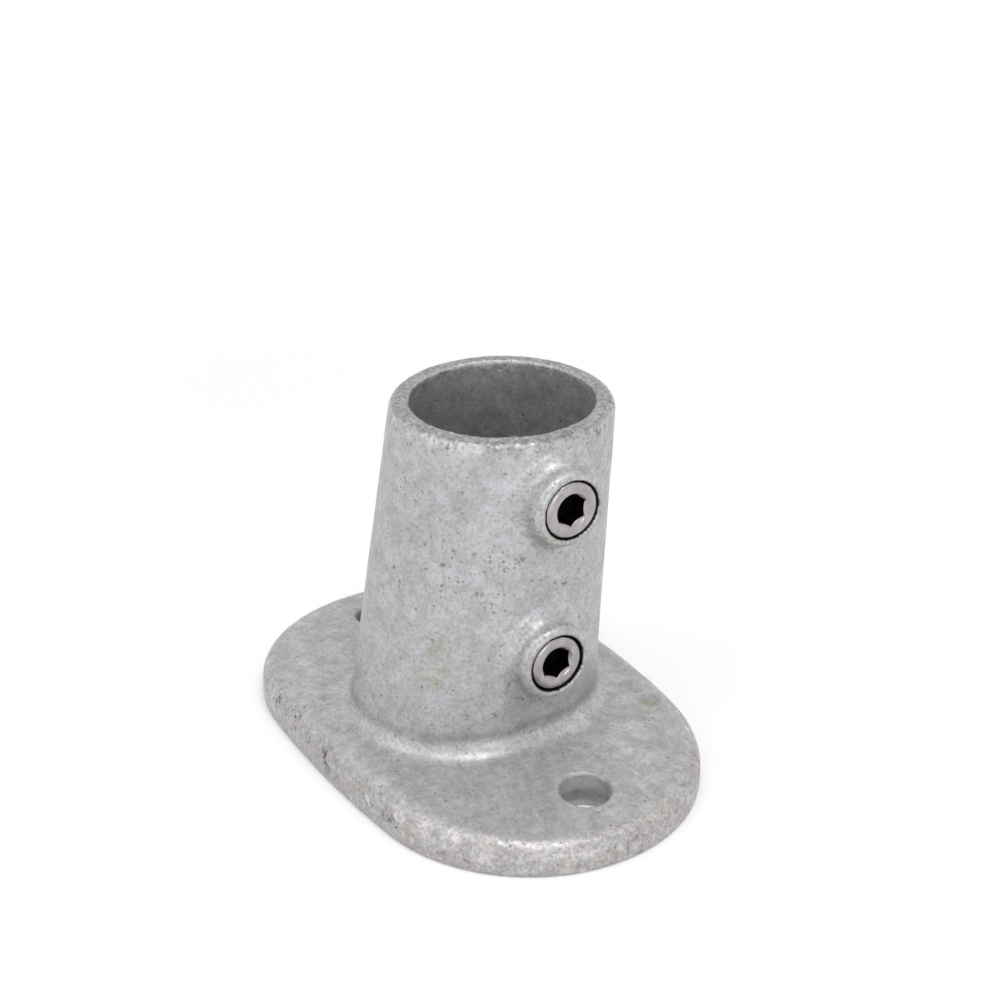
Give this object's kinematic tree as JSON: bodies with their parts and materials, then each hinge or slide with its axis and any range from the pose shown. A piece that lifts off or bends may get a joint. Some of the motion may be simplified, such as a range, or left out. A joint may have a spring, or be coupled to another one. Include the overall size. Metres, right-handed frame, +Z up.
{
  "type": "tube clamp base flange",
  "caption": "Cast base flange for a round tube: an oval bolt-down plate with a leaning clamp socket closed by set screws.",
  "frame": {"origin": "centre of the plate's flat underside", "axes": "+Z up from the underside, +X along the plate's length towards the side with the set screws, +Y the way that the socket leans"},
  "size_m": [0.1534, 0.0994, 0.1029],
  "materials": {
    "galvanised_iron": "matt hot-dip galvanised, slightly mottled and pitted",
    "set_screw_steel": "zinc-plated, satin"
  },
  "bodies": {
    "flange": {"flange_casting": "galvanised_iron"},
    "upper_screw": {"upper_set_screw": "set_screw_steel"},
    "lower_screw": {"lower_set_screw": "set_screw_steel"}
  },
  "joints": [
    {"name": "upper_screw_travel", "type": "slide", "parent": "flange", "child": "upper_screw", "axis": [1, 0, 0], "range_m": [-0.0023, 0.003]},
    {"name": "lower_screw_travel", "type": "slide", "parent": "flange", "child": "lower_screw", "axis": [1, 0, 0], "range_m": [-0.0021, 0.003]}
  ]
}
